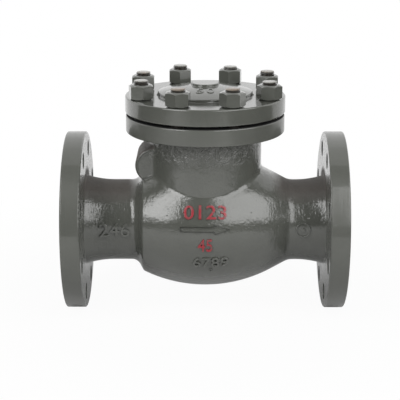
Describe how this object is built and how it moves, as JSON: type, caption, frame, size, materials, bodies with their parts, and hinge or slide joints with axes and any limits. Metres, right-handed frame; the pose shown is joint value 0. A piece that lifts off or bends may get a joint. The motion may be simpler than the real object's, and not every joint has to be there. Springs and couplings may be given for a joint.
{
  "type": "flanged swing check valve",
  "caption": "Cast steel swing check valve with two flanged ends, a bolted round cover, a cross barrel for the hinge pin, and a swinging arm and disc inside.",
  "frame": {"origin": "centre of the inlet flange's raised face, on the flow axis", "axes": "+X is the way of the flow, from inlet to outlet, +Z points to the cover, and +Y to the side with the hinge-pin plug"},
  "size_m": [0.31, 0.195, 0.2597],
  "materials": {
    "body_paint": "gloss enamel over a cast skin",
    "cover_paint": "gloss enamel",
    "stud_paint": "gloss enamel, thin on the ends",
    "nut_paint": "gloss enamel",
    "plug_paint": "gloss enamel",
    "seat_steel": "turned and lapped",
    "pin_steel": "ground",
    "arm_steel": "cast steel, bare",
    "disc_steel": "turned",
    "disc_fastener": "machined",
    "gasket": "graphite sheet"
  },
  "bodies": {
    "valve": {"body": "body_paint", "seat_ring": "seat_steel", "cover": "cover_paint", "cover_gasket": "gasket", "cover_stud_1": "stud_paint", "cover_stud_2": "stud_paint", "cover_stud_3": "stud_paint", "cover_stud_4": "stud_paint", "cover_stud_5": "stud_paint", "cover_stud_6": "stud_paint", "cover_stud_7": "stud_paint", "cover_stud_8": "stud_paint", "cover_nut_1": "nut_paint", "cover_nut_2": "nut_paint", "cover_nut_3": "nut_paint", "cover_nut_4": "nut_paint", "cover_nut_5": "nut_paint", "cover_nut_6": "nut_paint", "cover_nut_7": "nut_paint", "cover_nut_8": "nut_paint", "hinge_pin": "pin_steel", "pin_plug": "plug_paint", "pin_plug_gasket": "gasket"},
    "swing_arm": {"hinge_arm": "arm_steel"},
    "disc_assembly": {"disc": "disc_steel", "disc_washer": "disc_fastener", "disc_nut": "disc_fastener", "disc_split_pin": "disc_fastener"}
  },
  "joints": [
    {"name": "arm_swing", "type": "hinge", "parent": "valve", "child": "swing_arm", "pos_m": [0.099, 0, 0.0676], "axis": [0, -1, 0], "range_deg": [0, 70]},
    {"name": "disc_spin", "type": "hinge", "parent": "swing_arm", "child": "disc_assembly", "pos_m": [0.1223, 0, 0], "axis": [1, 0, 0], "continuous": true}
  ]
}
